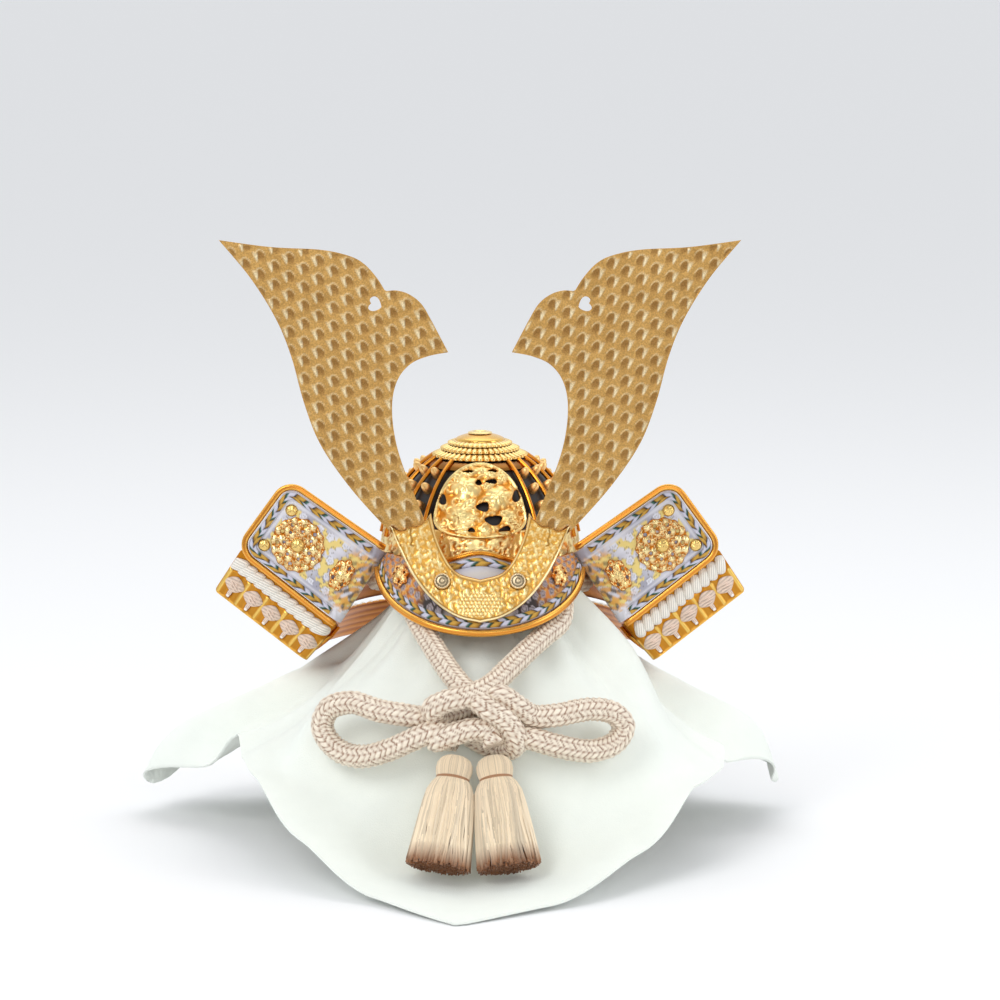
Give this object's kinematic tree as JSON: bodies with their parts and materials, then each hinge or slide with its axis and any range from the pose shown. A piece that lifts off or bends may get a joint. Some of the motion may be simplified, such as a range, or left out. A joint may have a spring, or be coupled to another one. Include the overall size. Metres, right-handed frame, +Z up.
{
  "type": "kabuto samurai helmet with draped display stand",
  "caption": "Small gilt display kabuto with tall flat horns, turned-back wings, laced neck guard and bow-tied chin cord, on a plain stand draped with cloth.",
  "frame": {"origin": "centre of the stand's flat foot, on the surface that it stands on", "axes": "+Z up, -Y to the front where the helmet faces, +X to the viewer's right"},
  "size_m": [0.3641, 0.4051, 0.313],
  "materials": {
    "stand_wood": "plain sanded softwood, hidden under the cloth",
    "crepe_cloth": "pale greenish-white crepe, fine pebbled weave, matte",
    "dark_bowl": "near-black lacquer with beige-gold bosses",
    "deep_gilt": "deep orange-gold plating, polished",
    "bright_gilt": "bright gold plating on pierced cast relief",
    "crown_gilt": "bright satin gold plating",
    "stand_gilt": "satin gold plating, embossed scrolls",
    "horn_gilt": "matte gold plating, embossed scales",
    "stud_silver_gilt": "pale silver-gold plating",
    "rosette_gilt": "gold plating on pierced openwork",
    "lame_gilt": "brushed gold lacquer with raised bars",
    "printed_leather": "dark printed leather with pale flowers",
    "printed_satin": "lilac-grey satin printed with pale gold arabesque",
    "edge_braid": "white, gold and green chevron braid",
    "ivory_lacing": "ivory twisted silk lacing",
    "knit_cord": "beige flat braided cord",
    "chin_cord": "pinkish-beige round braided silk cord",
    "tassel_silk": "cream silk strands with dark brown cut ends"
  },
  "bodies": {
    "root": {"stand_core": "stand_wood", "stand_cloth": "crepe_cloth", "bowl": "dark_bowl", "rib_cage": "deep_gilt", "front_plate": "bright_gilt", "crown_petals_lower": "crown_gilt", "crown_petals_middle": "crown_gilt", "crown_petals_upper": "crown_gilt", "crown_dome": "crown_gilt", "crown_cap": "crown_gilt", "visor": "printed_leather", "visor_rim": "deep_gilt", "visor_braid": "edge_braid", "brow_strip": "deep_gilt", "brow_braid": "edge_braid", "horn_stand": "stand_gilt", "neck_lame_upper": "printed_satin", "neck_lame_lower": "lame_gilt", "neck_lacing": "ivory_lacing", "neck_knits": "knit_cord", "chin_cord": "chin_cord", "tassel_left": "tassel_silk", "tassel_right": "tassel_silk", "horn_left": "horn_gilt", "horn_stud_left": "stud_silver_gilt", "visor_ornament_left": "deep_gilt", "wing_left": "printed_satin", "wing_rim_left": "deep_gilt", "wing_braid_left": "edge_braid", "wing_rosette_left": "rosette_gilt", "rosette_boss_left": "rosette_gilt", "wing_stud_upper_left": "rosette_gilt", "wing_stud_lower_left": "rosette_gilt", "wing_ornament_left": "rosette_gilt", "lower_lame_left": "lame_gilt", "lower_lacing_left": "ivory_lacing", "lower_knit_left_1": "knit_cord", "lower_knit_left_2": "knit_cord", "lower_knit_left_3": "knit_cord", "lower_knit_left_4": "knit_cord", "lower_knit_left_5": "knit_cord", "horn_right": "horn_gilt", "horn_stud_right": "stud_silver_gilt", "visor_ornament_right": "deep_gilt", "wing_right": "printed_satin", "wing_rim_right": "deep_gilt", "wing_braid_right": "edge_braid", "wing_rosette_right": "rosette_gilt", "rosette_boss_right": "rosette_gilt", "wing_stud_upper_right": "rosette_gilt", "wing_stud_lower_right": "rosette_gilt", "wing_ornament_right": "rosette_gilt", "lower_lame_right": "lame_gilt", "lower_lacing_right": "ivory_lacing", "lower_knit_right_1": "knit_cord", "lower_knit_right_2": "knit_cord", "lower_knit_right_3": "knit_cord", "lower_knit_right_4": "knit_cord", "lower_knit_right_5": "knit_cord"}
  },
  "joints": []
}
